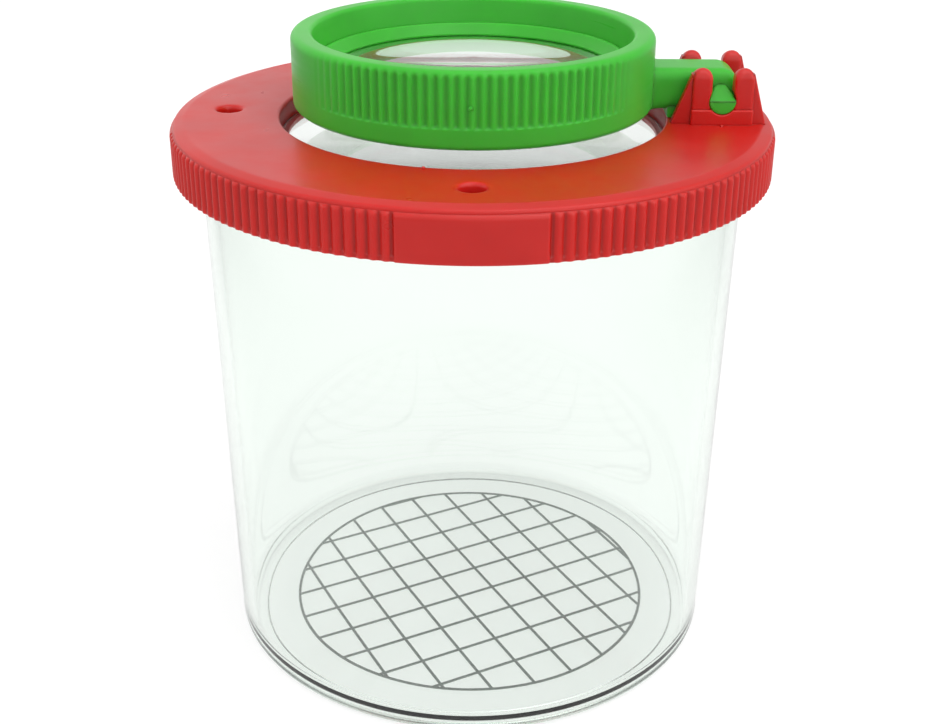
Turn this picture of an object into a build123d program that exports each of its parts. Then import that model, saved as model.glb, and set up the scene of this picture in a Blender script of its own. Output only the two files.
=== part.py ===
"""Bug catcher jar: a clear beaker, a lid with a fixed lens and a hinged magnifier over it.

Millimetres, +Z up, origin at the middle of the jar's foot. The hinge is on the +X side of the lid.
"""
import os
from math import radians, tan

from build123d import *

# Jar
jar_height = 62.75
jar_rim_radius = 31.05
jar_taper_run = 1.15
jar_wall = 1.4
jar_floor = 1.2
jar_corner_radius = 1.0
jar_inside_radius = 0.8
jar_rim_round = 0.4
foot_recess = 0.3
foot_ring_width = 3.1

# Measuring grid under the jar floor
grid_margin = 4.0
grid_square_width = 5.0
grid_offset_along = 1.95
grid_offset_across = 2.35
grid_line_width = 0.32
grid_thickness = 0.12
grid_angle = 27.7

# Lid
lid_plate = 2.0
lid_plate_width = 11.85
lid_bevel_width = 1.2
lid_bevel_drop = 0.35
lid_edge_round = 0.6
skirt_depth = 5.75
skirt_wall = 2.4
skirt_clearance = 0.3
skirt_lip_height = 0.5
skirt_lip_proud = 0.15
grip_rib_radius = 0.36
grip_start = 0.9
grip_ribs_per_turn = 168
grip_ribs_per_group = 30
grip_groups = 4
grip_panel_angle = 25.0
grip_panel_proud = 0.35
vent_radius = 1.4
vent_edge_distance = 5.95

# Lens bore in the lid
lens_seat_depth = 3.0
lens_ledge_width = 0.9
lens_ledge_thickness = 0.8
lens_collar_wall = 1.4
field_lens_rim = 1.0
field_lens_sag = 0.7
lens_fit_gap = 0.05

# Magnifier frame and the lens that it holds
frame_lift = 1.25
frame_height = 8.1
frame_bore_gap = 1.6
frame_rim_wall = 2.35
frame_pocket_wall = 2.9
frame_rim_round = 0.8
frame_foot_taper = 0.3
frame_band_height = 2.3
frame_ledge_width = 1.7
frame_ledge_height = 2.55
flute_radius = 0.3
flutes_per_turn = 118
flutes_per_group = 36
magnifier_lens_rim = 1.3
magnifier_lens_sag = 1.2
retainer_height = 1.35
retainer_lip_height = 0.25
retainer_edge_bevel = 0.2
retainer_top_wall = 0.5

# Hinge
hinge_edge_distance = 6.2
hinge_height = 2.62
hinge_pin_radius = 1.45
hinge_pin_clearance = 0.05
hinge_pin_inset = 0.05
arm_width = 6.2
arm_depth = 4.6
arm_edge_round = 1.1
arm_rise = 0.65
arm_foot_inset = 0.4
arm_foot_length = 1.9
yoke_side_gap = 0.3
yoke_thickness = 2.1
yoke_half_width = 3.4
yoke_base_height = 1.68
prong_gap = 2.4
prong_height = 6.1
prong_setback = 0.25
prong_edge_round = 0.9
gusset_thickness = 1.1
gusset_inner_foot = 2.15
gusset_outer_foot = 1.6
gusset_height = 5.2
heel_pocket_depth = 0.55
heel_pocket_half_length = 2.8

# Radii that follow from the jar's rim, going out to the lid's edge and in to the lenses
jar_base_radius = jar_rim_radius - jar_taper_run
foot_inner_radius = jar_base_radius - foot_ring_width
grid_radius = foot_inner_radius - grid_margin
skirt_inner_radius = jar_rim_radius + skirt_clearance
lid_radius = skirt_inner_radius + skirt_wall
vent_circle_radius = lid_radius - vent_edge_distance
lens_bore_radius = lid_radius - lid_plate_width
lens_ledge_radius = lens_bore_radius - lens_ledge_width
frame_radius = lens_bore_radius - frame_bore_gap
frame_inner_radius = frame_radius - frame_rim_wall
frame_pocket_radius = frame_radius - frame_pocket_wall
frame_ledge_radius = frame_pocket_radius - frame_ledge_width
hinge_offset = lid_radius - hinge_edge_distance

# Levels that follow from the heights
floor_top = foot_recess + jar_floor
jar_floor_inner_radius = jar_base_radius + jar_taper_run * floor_top / jar_height - jar_wall
lid_top = jar_height + lid_plate
skirt_bottom = lid_top - skirt_depth
lens_seat = lid_top - lens_seat_depth
frame_bottom = lid_top + frame_lift
frame_top = frame_bottom + frame_height
lens_rest = frame_bottom + frame_ledge_height
retainer_bottom = lens_rest + magnifier_lens_rim
retainer_top = retainer_bottom + retainer_height
hinge_z = lid_top + hinge_height
arm_middle = hinge_z + arm_rise

# Hinge sizes that follow from the arm and the pin
arm_heel_radius = arm_depth / 2
yoke_inner = arm_width / 2 + yoke_side_gap
yoke_outer = yoke_inner + yoke_thickness
prong_thickness = yoke_thickness - prong_setback
prong_outer = yoke_inner + prong_thickness
prong_middle = (yoke_inner + prong_outer) / 2
pin_tip = yoke_outer - hinge_pin_inset
pin_seat_radius = hinge_pin_radius + hinge_pin_clearance
prong_width = yoke_half_width - prong_gap / 2
gusset_inset = prong_middle - gusset_thickness / 2


def lens_outline(bottom, rim, radius, clear_radius, sag_over, sag_under):
    """Half outline of a lens with a flat rim; each face bulges by its own sag, and a sag of 0 is a flat face."""
    top = bottom + rim
    Line((0, bottom - sag_under), (0, top + sag_over))
    TangentArc((0, top + sag_over), (clear_radius, top), tangent=(1, 0))
    Polyline((clear_radius, top), (radius, top), (radius, bottom), (clear_radius, bottom))
    if sag_under > 0:
        TangentArc((0, bottom - sag_under), (clear_radius, bottom), tangent=(1, 0))
    else:
        Line((clear_radius, bottom), (0, bottom))


# Clear beaker with a slight outward taper, a rounded corner and a foot ring
with BuildPart() as jar_body:
    with BuildSketch(Plane.XZ):
        with BuildLine():
            Polyline(
                (0, foot_recess),
                (foot_inner_radius, foot_recess),
                (foot_inner_radius, 0),
                (jar_base_radius, 0),
                (jar_rim_radius, jar_height),
                (jar_rim_radius - jar_wall, jar_height),
                (jar_floor_inner_radius, floor_top),
                (0, floor_top),
                close=True,
            )
        make_face()
        fillet(vertices().sort_by_distance((jar_base_radius, 0))[0], jar_corner_radius)
        fillet(vertices().sort_by_distance((jar_floor_inner_radius, floor_top))[0], jar_inside_radius)
        fillet(vertices().sort_by_distance((jar_rim_radius, jar_height))[0], jar_rim_round)
        fillet(vertices().sort_by_distance((jar_rim_radius - jar_wall, jar_height))[0], jar_rim_round)
    revolve(axis=Axis.Z)

# Square grid in a circle, on the underside of the floor
grid_lines = 2 * int(grid_radius / grid_square_width) + 5
with BuildPart() as measuring_grid:
    with BuildSketch(Plane.XY.offset(foot_recess - grid_thickness)):
        with Locations(Rotation(0, 0, grid_angle)):
            with Locations((0, grid_offset_across)):
                with GridLocations(0, grid_square_width, 1, grid_lines):
                    Rectangle(4 * grid_radius, grid_line_width)
            with Locations((grid_offset_along, 0)):
                with GridLocations(grid_square_width, 0, grid_lines, 1):
                    Rectangle(grid_line_width, 4 * grid_radius)
        Circle(grid_radius - grid_line_width / 2, mode=Mode.INTERSECT)
    extrude(amount=grid_thickness)
    with BuildSketch(Plane.XY.offset(foot_recess - grid_thickness)):
        Circle(grid_radius)
        Circle(grid_radius - grid_line_width, mode=Mode.SUBTRACT)
    extrude(amount=grid_thickness)

# Lid: plate, skirt and lens bore turned as one, then ribs, vents and hinge yokes
with BuildPart() as lid_ring:
    with BuildSketch(Plane.XZ):
        with BuildLine():
            Polyline(
                (lens_bore_radius, lid_top),
                (lid_radius - lid_bevel_width, lid_top),
                (lid_radius, lid_top - lid_bevel_drop),
                (lid_radius, skirt_bottom + skirt_lip_height),
                (lid_radius + skirt_lip_proud, skirt_bottom + skirt_lip_height),
                (lid_radius + skirt_lip_proud, skirt_bottom),
                (skirt_inner_radius, skirt_bottom),
                (skirt_inner_radius, jar_height),
                (lens_bore_radius + lens_collar_wall, jar_height),
                (lens_bore_radius + lens_collar_wall, lens_seat - lens_ledge_thickness),
                (lens_ledge_radius, lens_seat - lens_ledge_thickness),
                (lens_ledge_radius, lens_seat),
                (lens_bore_radius, lens_seat),
                close=True,
            )
        make_face()
        fillet(vertices().sort_by_distance((lid_radius, lid_top - lid_bevel_drop))[0], lid_edge_round)
    revolve(axis=Axis.Z)
    rib_angle = 360 / grip_ribs_per_turn
    with BuildSketch(Plane.XY.offset(skirt_bottom + skirt_lip_height / 2)):
        for group in range(grip_groups):
            middle = 45 + group * 360 / grip_groups
            first = middle - rib_angle * (grip_ribs_per_group - 1) / 2
            with PolarLocations(lid_radius, grip_ribs_per_group, first, rib_angle * grip_ribs_per_group):
                Circle(grip_rib_radius)
    extrude(amount=skirt_depth - grip_start - skirt_lip_height / 2)
    # Plain panels between the groups of ribs
    panel_spread = 2 * lid_radius * tan(radians(grip_panel_angle / 2))
    with BuildSketch(Plane.XY.offset(skirt_bottom)):
        with PolarLocations(0, grip_groups):
            Polygon((0, 0), (2 * lid_radius, -panel_spread), (2 * lid_radius, panel_spread), align=None)
        Circle(lid_radius + grip_panel_proud, mode=Mode.INTERSECT)
        Circle(lid_radius - grip_panel_proud, mode=Mode.SUBTRACT)
    extrude(amount=skirt_depth - grip_start)
    with BuildSketch(Plane.XY.offset(lid_top)):
        with PolarLocations(vent_circle_radius, 3, 90, 270):
            Circle(vent_radius)
    extrude(amount=-2 * lid_plate, mode=Mode.SUBTRACT)
    # Relief under the heel of the arm, between the yokes
    with BuildSketch(Plane.XY.offset(lid_top)):
        with Locations((hinge_offset, 0)):
            Rectangle(2 * heel_pocket_half_length, 2 * yoke_inner)
    extrude(amount=-heel_pocket_depth, mode=Mode.SUBTRACT)
    # Yokes: a low block with a round seat, and two prongs set back from its outer face
    with BuildSketch(Plane.XZ.offset(yoke_inner), Plane.XZ.offset(-yoke_outer)):
        with Locations((hinge_offset, lid_top + (yoke_base_height - lid_plate / 2) / 2)):
            Rectangle(2 * yoke_half_width, yoke_base_height + lid_plate / 2)
        with Locations((hinge_offset, hinge_z)):
            Circle(pin_seat_radius, mode=Mode.SUBTRACT)
    extrude(amount=yoke_thickness)
    with BuildSketch(Plane.XZ.offset(yoke_inner), Plane.XZ.offset(-prong_outer)):
        for side in (-1, 1):
            prong_x = hinge_offset + side * (yoke_half_width - prong_width / 2)
            with Locations((prong_x, lid_top + (prong_height - prong_width / 2) / 2)):
                Rectangle(prong_width, prong_height - prong_width / 2)
            with Locations((prong_x, lid_top + prong_height - prong_width / 2)):
                Circle(prong_width / 2)
        with Locations((hinge_offset, hinge_z)):
            Circle(pin_seat_radius, mode=Mode.SUBTRACT)
    extrude(amount=prong_thickness)
    # Prong tops rounded off towards both faces
    with BuildSketch(Plane.YZ.offset(hinge_offset - 2 * yoke_half_width)):
        with Locations((-prong_middle, lid_top + prong_height), (prong_middle, lid_top + prong_height)):
            Rectangle(2 * prong_thickness, 2 * prong_edge_round)
        with Locations((-prong_middle, lid_top), (prong_middle, lid_top)):
            RectangleRounded(prong_thickness, 2 * prong_height, prong_edge_round, mode=Mode.SUBTRACT)
    extrude(amount=4 * yoke_half_width, mode=Mode.SUBTRACT)
    with BuildSketch(Plane.XZ.offset(gusset_inset), Plane.XZ.offset(-gusset_inset - gusset_thickness)):
        for side, foot in ((-1, gusset_inner_foot), (1, gusset_outer_foot)):
            root = hinge_offset + side * (yoke_half_width - prong_width / 2)
            edge = hinge_offset + side * yoke_half_width
            with BuildLine():
                Polyline(
                    (root, lid_top - lid_plate / 2),
                    (edge + side * foot, lid_top - lid_plate / 2),
                    (edge + side * foot, lid_top),
                    (edge, lid_top + gusset_height),
                    (root, lid_top + gusset_height),
                    close=True,
                )
            make_face()
    extrude(amount=gusset_thickness)

# Fixed lens on the ledge of the bore, flat below
with BuildPart() as field_lens:
    with BuildSketch(Plane.XZ):
        with BuildLine():
            lens_outline(
                lens_seat,
                field_lens_rim,
                lens_bore_radius - lens_fit_gap,
                lens_ledge_radius,
                field_lens_sag,
                0,
            )
        make_face()
    revolve(axis=Axis.Z)

# Hinged frame: ring with flutes, arm and snap-in pins
with BuildPart() as magnifier_frame:
    with BuildSketch(Plane.XZ):
        with BuildLine():
            Polyline(
                (frame_ledge_radius, frame_bottom),
                (frame_radius - frame_foot_taper, frame_bottom),
                (frame_radius, frame_bottom + frame_foot_taper),
                (frame_radius, frame_top),
                (frame_inner_radius, frame_top),
                (frame_pocket_radius, retainer_top),
                (frame_pocket_radius, lens_rest),
                (frame_ledge_radius, lens_rest),
                close=True,
            )
        make_face()
        fillet(vertices().sort_by_distance((frame_radius, frame_top))[0], frame_rim_round)
        fillet(vertices().sort_by_distance((frame_inner_radius, frame_top))[0], frame_rim_round / 2)
    revolve(axis=Axis.Z)
    flute_angle = 360 / flutes_per_turn
    flute_span = flute_angle * flutes_per_group
    with BuildSketch(Plane.XY.offset(frame_bottom + frame_band_height)):
        for middle in (-90, 90):
            first = middle - (flute_span - flute_angle) / 2
            with PolarLocations(frame_radius, flutes_per_group, first, flute_span):
                Circle(flute_radius)
    extrude(amount=frame_height, mode=Mode.SUBTRACT)
    arm_start = (frame_radius + frame_pocket_radius) / 2
    with BuildSketch(Plane.YZ.offset(arm_start)):
        with Locations((0, arm_middle)):
            RectangleRounded(arm_width, arm_depth, arm_edge_round)
    extrude(amount=hinge_offset + arm_heel_radius - arm_start)
    # Heel of the arm rounded about the arm's own middle
    with BuildSketch(Plane.XZ.offset(-arm_width / 2)):
        with Locations((hinge_offset + arm_heel_radius / 2, arm_middle)):
            Rectangle(arm_heel_radius, arm_depth)
        with Locations((hinge_offset, arm_middle)):
            Circle(arm_heel_radius, mode=Mode.SUBTRACT)
    extrude(amount=arm_width, mode=Mode.SUBTRACT)
    with BuildSketch(Plane.XZ.offset(-arm_width / 2 + arm_edge_round)):
        foot_x = lens_bore_radius + arm_foot_inset + arm_foot_length / 2
        with Locations((foot_x, (lid_top + arm_middle) / 2)):
            Rectangle(arm_foot_length, arm_middle - lid_top)
    extrude(amount=arm_width - 2 * arm_edge_round)
    with BuildSketch(Plane.XZ.offset(-pin_tip)):
        with Locations((hinge_offset, hinge_z)):
            Circle(hinge_pin_radius)
    extrude(amount=2 * pin_tip)
    # Upper half of each pin slopes down to its tip so that it snaps in between the prongs
    with BuildSketch(Plane.YZ.offset(hinge_offset - 2 * hinge_pin_radius)):
        for side in (-1, 1):
            with BuildLine():
                Polyline(
                    (side * arm_width / 2, hinge_z + hinge_pin_radius),
                    (side * pin_tip, hinge_z),
                    (side * (pin_tip + 1), hinge_z),
                    (side * (pin_tip + 1), hinge_z + 2 * hinge_pin_radius),
                    (side * arm_width / 2, hinge_z + 2 * hinge_pin_radius),
                    close=True,
                )
            make_face()
    extrude(amount=4 * hinge_pin_radius, mode=Mode.SUBTRACT)

# Lens in the frame, on its ledge
with BuildPart() as magnifier_lens:
    with BuildSketch(Plane.XZ):
        with BuildLine():
            lens_outline(
                lens_rest,
                magnifier_lens_rim,
                frame_pocket_radius - lens_fit_gap,
                frame_ledge_radius,
                magnifier_lens_sag,
                magnifier_lens_sag,
            )
        make_face()
    revolve(axis=Axis.Z)

# Retaining ring pressed in above that lens, with a conical inner face
with BuildPart() as lens_retainer:
    with BuildSketch(Plane.XZ):
        with BuildLine():
            Polyline(
                (frame_ledge_radius, retainer_bottom),
                (frame_pocket_radius - lens_fit_gap, retainer_bottom),
                (frame_pocket_radius - lens_fit_gap, retainer_top - retainer_edge_bevel),
                (frame_pocket_radius - lens_fit_gap - retainer_edge_bevel, retainer_top),
                (frame_pocket_radius - lens_fit_gap - retainer_top_wall, retainer_top),
                (frame_ledge_radius, retainer_bottom + retainer_lip_height),
                close=True,
            )
        make_face()
    revolve(axis=Axis.Z)

os.makedirs("parts", exist_ok=True)
jar_body.part.label = "jar_body"
export_step(jar_body.part, "parts/jar_body.step")
measuring_grid.part.label = "measuring_grid"
export_step(measuring_grid.part, "parts/measuring_grid.step")
lid_ring.part.label = "lid_ring"
export_step(lid_ring.part, "parts/lid_ring.step")
field_lens.part.label = "field_lens"
export_step(field_lens.part, "parts/field_lens.step")
magnifier_frame.part.label = "magnifier_frame"
export_step(magnifier_frame.part, "parts/magnifier_frame.step")
magnifier_lens.part.label = "magnifier_lens"
export_step(magnifier_lens.part, "parts/magnifier_lens.step")
lens_retainer.part.label = "lens_retainer"
export_step(lens_retainer.part, "parts/lens_retainer.step")
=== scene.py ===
"""Looks of the bug catcher jar: a clear beaker, a red vented lid with a fixed lens, a green hinged magnifier.

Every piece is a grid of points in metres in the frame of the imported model: +Z up, the hinge on the +X side.
"""
import math

import bpy
import numpy as np
from bpy.props import FloatProperty, FloatVectorProperty, IntProperty, PointerProperty
from bpy.types import Operator, Panel, PropertyGroup
from mathutils import Matrix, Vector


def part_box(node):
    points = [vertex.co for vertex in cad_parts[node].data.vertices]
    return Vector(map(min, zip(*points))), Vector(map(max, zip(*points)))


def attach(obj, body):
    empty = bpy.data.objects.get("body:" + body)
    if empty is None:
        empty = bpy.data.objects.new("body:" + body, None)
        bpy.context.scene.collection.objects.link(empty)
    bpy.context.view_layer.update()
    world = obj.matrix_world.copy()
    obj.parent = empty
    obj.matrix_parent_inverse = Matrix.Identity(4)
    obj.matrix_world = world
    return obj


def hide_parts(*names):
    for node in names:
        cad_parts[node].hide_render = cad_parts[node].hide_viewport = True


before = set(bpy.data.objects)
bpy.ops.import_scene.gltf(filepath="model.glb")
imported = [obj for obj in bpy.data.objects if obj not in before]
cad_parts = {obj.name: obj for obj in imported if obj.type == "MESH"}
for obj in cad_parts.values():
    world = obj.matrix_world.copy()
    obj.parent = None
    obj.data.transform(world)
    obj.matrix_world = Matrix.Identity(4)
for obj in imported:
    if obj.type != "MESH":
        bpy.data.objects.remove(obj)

bl_info = {
    "name": "Bug Catcher Jar",
    "version": (1, 0, 0),
    "blender": (4, 5, 0),
    "location": "View3D > Sidebar > Bug Jar",
    "description": "Builds the clear beaker, ribbed lid and hinged magnifier of a bug catcher jar",
    "category": "Add Mesh",
}

MM = 0.001
FULL_TURN = 2 * math.pi
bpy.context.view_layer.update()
JAR_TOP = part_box("jar_body")[1].z
SKIRT_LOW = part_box("lid_ring")[0].z
LENS_LOW, LENS_HIGH = (corner.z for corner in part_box("field_lens"))
RING_LOW, RING_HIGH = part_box("lens_retainer")[0].z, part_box("magnifier_frame")[1].z
RETAINER_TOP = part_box("lens_retainer")[1].z

# Columns of the grids, and rows, columns and easing rings of the blocks round a vent and the heel pocket
COLUMNS = 448
VENT_ROWS, VENT_COLUMNS, VENT_RINGS = 4, 4, 7
HEEL_ROWS, HEEL_COLUMNS, HEEL_RINGS = 8, 9, 3
JAR_COLUMNS, LENS_COLUMNS = 320, 256

# Gaps of a lens to the floor and the wall of its seat, and the bulge of each lens
LENS_LIFT, LENS_GAP = 0.02 * MM, 0.06 * MM
FIXED_SAG, HAND_SAG = 0.7 * MM, 1.2 * MM

# Clear plastics: density of the tint, strength of the waves and index of refraction
JAR_CLEAR = {"density": 100.0, "waviness": 0.05, "ior": 1.56}
LENS_CLEAR = {"density": 10.0, "waviness": 0.02, "ior": 1.49}

# Share of pale painted highlight on the ridges of the coloured plastics
RIDGE_HIGHLIGHT = 0.03

# Picture width and focal length in pixels, sensor width in millimetres, small turns of the camera
PICTURE_WIDTH, FOCAL_PIXELS, SENSOR_WIDTH = 950, 1392.5, 36
CAMERA_YAW, CAMERA_ROLL = math.radians(-0.174), math.radians(0.434)

# Dimmest glow of the floor, and the shares of light on the right and in the left glow
FLOOR_DIM, RIGHT_SHARE, LEFT_GLOW_SHARE = 0.25, 0.55, 0.65


def number(name, description, default, **kind):
    """A number property, of a kind where one is given."""
    return FloatProperty(name=name, description=description, default=default, **kind)


def length(name, description, default):
    """A size property in metres."""
    return number(name, description, default, unit="LENGTH", precision=5)


def angle(name, description, degrees):
    """An angle property."""
    return number(name, description, math.radians(degrees), subtype="ANGLE")


def tint(name, description, default):
    """A colour property, scene linear."""
    return FloatVectorProperty(
        name=name, description=description, default=default, subtype="COLOR", size=3, min=0.0, max=1.0
    )


class BeakerSizes(PropertyGroup):
    """Sizes of the clear beaker."""

    height: length("Height", "From the foot to the rim", JAR_TOP)
    rim_radius: length("Rim radius", "Outside radius at the rim", 31.05 * MM)
    base_radius: length("Base radius", "Outside radius at the foot", 29.9 * MM)
    wall: length("Wall", "Thickness of the side wall", 1.4 * MM)
    floor_low: length("Floor underside", "Height of the underside of the floor", 0.33 * MM)
    floor_top: length("Floor top", "Height of the upper face of the floor", 1.5 * MM)
    foot_radius: length("Foot inner radius", "Inside radius of the foot ring", 26.8 * MM)
    corner_round: length("Corner round", "Rounding between the wall and the foot", 1.0 * MM)


class LidSizes(PropertyGroup):
    """Sizes of the ribbed lid."""

    top: length("Top", "Height of the upper face", JAR_TOP + 2.0 * MM)
    plate: length("Plate", "Thickness of the plate", 2.0 * MM)
    skirt_low: length("Skirt end", "Height of the lower edge of the skirt", SKIRT_LOW)
    skirt_inner: length("Skirt inner radius", "Radius that goes over the jar", 31.35 * MM)
    edge_radius: length("Edge radius", "Radius between the ribs", 33.75 * MM)
    grip_proud: length("Grip height", "How far ribs and plain panels stand out", 0.35 * MM)
    ribs: IntProperty(name="Ribs", description="Grip ribs in a full turn", default=168, min=24)
    panel_angle: angle("Panel angle", "Width of each plain panel", 25)
    bore_radius: length("Bore radius", "Radius of the lens bore", 21.9 * MM)
    ledge_radius: length("Ledge radius", "Inside radius of the ledge under the lens", 21.0 * MM)
    vent_circle: length("Vent circle", "Distance of each vent from the axis", 27.8 * MM)
    vent_radius: length("Vent radius", "Radius of each vent", 1.4 * MM)


class HingeSizes(PropertyGroup):
    """Sizes of the hinge between lid and magnifier."""

    axis_x: length("Axis X", "Distance of the hinge line from the jar's axis", 27.55 * MM)
    axis_z: length("Axis Z", "Height of the hinge line", JAR_TOP + 4.62 * MM)
    pin_radius: length("Pin radius", "Radius of the hinge pins", 1.45 * MM)
    seat_radius: length("Seat radius", "Radius of the seats in the yokes", 1.5 * MM)
    arm_half_width: length("Arm half width", "Half the width of the arm", 3.1 * MM)
    yoke_inner: length("Yoke inner face", "Distance of the yokes' inner faces from the middle", 3.4 * MM)
    yoke_outer: length("Yoke outer face", "Distance of the yokes' outer faces from the middle", 5.5 * MM)
    prong_height: length("Prong height", "Height of the prongs above the lid", 6.1 * MM)


class MagnifierSizes(PropertyGroup):
    """Sizes of the green ring, its lens and its retaining ring."""

    radius: length("Radius", "Outside radius of the ring", 20.3 * MM)
    inner_radius: length("Mouth radius", "Inside radius at the upper rim", 17.95 * MM)
    pocket_radius: length("Pocket radius", "Radius of the pocket that takes the lens", 17.4 * MM)
    ledge_radius: length("Ledge radius", "Inside radius of the ledge under the lens", 15.7 * MM)
    low: length("Underside", "Height of the ring's underside", JAR_TOP + 3.25 * MM)
    high: length("Rim", "Height of the ring's rim", RING_HIGH)
    lens_rest: length("Lens rest", "Height of the ledge that carries the lens", RING_LOW - 1.3 * MM)
    lens_top: length("Lens rim top", "Height of the lens rim's upper face", RING_LOW)
    retainer_top: length("Retainer top", "Height of the retaining ring's upper edge", RETAINER_TOP)
    flutes: IntProperty(name="Flutes", description="Flutes in a full turn", default=118, min=24)
    flute_depth: length("Flute depth", "Depth of each flute", 0.3 * MM)
    band: length("Plain band", "Height of the plain band under the flutes", 2.3 * MM)


class Finishes(PropertyGroup):
    """Colours and gloss of the plastics."""

    lid_red: tint("Lid red", "Moulded red of the lid", (0.60, 0.010, 0.006))
    ring_green: tint("Magnifier green", "Moulded green of the magnifier", (0.060, 0.48, 0.042))
    clear_tint: tint("Clear plastic tint", "Colour that thick clear plastic takes on", (0.80, 0.96, 0.84))
    grid_ink: tint("Grid lines", "Dark lines under the jar floor", (0.045, 0.085, 0.060))
    gloss: number("Roughness", "Mean roughness of the coloured plastic", 0.30, subtype="FACTOR")


class Studio(PropertyGroup):
    """Camera and light."""

    distance: length("Camera distance", "Distance of the camera in front of the jar", 156.1 * MM)
    height: length("Camera height", "Height of the camera above the floor", 107.1 * MM)
    pitch: angle("Camera pitch", "Angle that the camera looks down", 25.42)
    back_light: number("Back light", "Brightness of the white surroundings", 0.9)
    front_light: number("Front light", "Brightness behind the camera", 0.45)
    side_light: number("Side light", "Brightness of the glow from both sides", 1.7)
    floor_light: number("Floor light", "Brightness of the lit floor", 0.77)
    key_light: number("Key light", "Power of the overhead soft box", 0.6, unit="POWER")


def fillet_chain(corners, rounds, steps=5):
    """Points along an open line of corners, each inner corner swapped for an arc that touches both sides.

    An arc's middle lies on the corner's bisector, its size over the sine of half the corner's angle away.
    One more point on each side of an arc keeps the shading of the flats even.
    """
    corners = np.asarray(corners, float)
    line = [corners[:1]]
    for before, corner, after, size in zip(corners[:-2], corners[1:-1], corners[2:], rounds):
        runs = np.array([np.linalg.norm(before - corner), np.linalg.norm(after - corner)])
        back, ahead = (before - corner) / runs[0], (after - corner) / runs[1]
        half = 0.5 * math.acos(np.clip(back @ ahead, -1, 1))
        reach = size / math.tan(half)
        middle = corner + (back + ahead) / np.linalg.norm(back + ahead) * size / math.sin(half)
        swing = math.pi - 2 * half
        share = np.linspace(0, 1, steps)[:, None]
        first, last = corner + back * reach - middle, corner + ahead * reach - middle
        arc = middle + (np.sin((1 - share) * swing) * first + np.sin(share * swing) * last) / math.sin(swing)
        spare = np.minimum(0.5 * size, 0.3 * (runs - reach))
        line += [[corner + back * (reach + spare[0])], arc, [corner + ahead * (reach + spare[1])]]
    line.append(corners[-1:])
    return np.concatenate(line)


def full_circle(count):
    """Turns at even steps round a circle."""
    return np.linspace(0, FULL_TURN, count, endpoint=False)


def turned(profile, turns):
    """Grid of a profile of radius and height turned about Z: radius times cosine and sine of each turn."""
    radius, height = profile[:, :1], profile[:, 1:]
    return np.stack(np.broadcast_arrays(radius * np.cos(turns), radius * np.sin(turns), height), -1)


def grid_quads(index):
    """Four-cornered faces between neighbouring rows of an index grid whose columns close round."""
    ahead = np.roll(index, -1, axis=1)
    return np.stack([index[:-1], ahead[:-1], ahead[1:], index[1:]], -1)


def skin(points, relief_shading=0.5, loop=False):
    """Closed skin over a grid: rows close round when loop is set, else each end row closes on its middle."""
    rows, columns = points.shape[:2]
    index = np.arange(rows * columns).reshape(rows, columns)
    flat = points.reshape(-1, 3)
    shade = np.broadcast_to(relief_shading, (rows, columns)).reshape(-1)
    if loop:
        quads = grid_quads(np.vstack([index, index[:1]])).reshape(-1, 4)
        return {"points": flat, "relief_shading": shade, "quads": quads, "tris": np.empty((0, 3), int)}
    ahead = np.roll(index, -1, axis=1)
    start, stop = np.full(columns, len(flat)), np.full(columns, len(flat) + 1)
    tris = np.concatenate(
        [np.stack([start, ahead[0], index[0]], -1), np.stack([index[-1], ahead[-1], stop], -1)]
    )
    return {
        "points": np.concatenate([flat, [points[0].mean(0), points[-1].mean(0)]]),
        "relief_shading": np.concatenate([shade, [shade[0], shade[-1]]]),
        "quads": grid_quads(index).reshape(-1, 4),
        "tris": tris,
    }


def swept(x, y, z, relief_shading):
    """Closed skin over the grid that three arrays of coordinates span together."""
    return skin(np.stack(np.broadcast_arrays(x, y, z), -1), relief_shading)


def join(skins):
    """One skin from several, with the points that no face uses left out."""
    starts = np.cumsum([0] + [len(part["points"]) for part in skins[:-1]])
    quads = np.concatenate([part["quads"] + start for part, start in zip(skins, starts)])
    tris = np.concatenate([part["tris"] + start for part, start in zip(skins, starts)])
    used, place = np.unique(np.concatenate([quads.ravel(), tris.ravel()]), return_inverse=True)
    return {
        "points": np.concatenate([part["points"] for part in skins])[used],
        "relief_shading": np.concatenate([part["relief_shading"] for part in skins])[used],
        "quads": place[: quads.size].reshape(-1, 4),
        "tris": place[quads.size:].reshape(-1, 3),
    }


def add_piece(name, shape, material, body, node):
    """Puts a skin into a smooth mesh that rides on a body and stands for a node."""
    loops = np.concatenate([shape["quads"].ravel(), shape["tris"].ravel()])
    sizes = np.concatenate([np.full(len(shape["quads"]), 4), np.full(len(shape["tris"]), 3)])
    mesh = bpy.data.meshes.new(name)
    mesh.vertices.add(len(shape["points"]))
    mesh.vertices.foreach_set("co", shape["points"].astype(np.float32).ravel())
    mesh.loops.add(len(loops))
    mesh.loops.foreach_set("vertex_index", loops.astype(np.int32))
    mesh.polygons.add(len(sizes))
    mesh.polygons.foreach_set("loop_start", (np.cumsum(sizes) - sizes).astype(np.int32))
    mesh.polygons.foreach_set("use_smooth", np.ones(len(sizes), bool))
    relief_shading = mesh.attributes.new("relief_shading", "FLOAT", "POINT")
    relief_shading.data.foreach_set("value", shape["relief_shading"].astype(np.float32))
    mesh.update(calc_edges=True)
    if mesh.validate():
        raise RuntimeError(f"{name} has faces that are not valid")
    mesh.materials.append(material)
    piece = bpy.data.objects.new(name, mesh)
    bpy.context.scene.collection.objects.link(piece)
    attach(piece, body)
    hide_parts(node)


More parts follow.
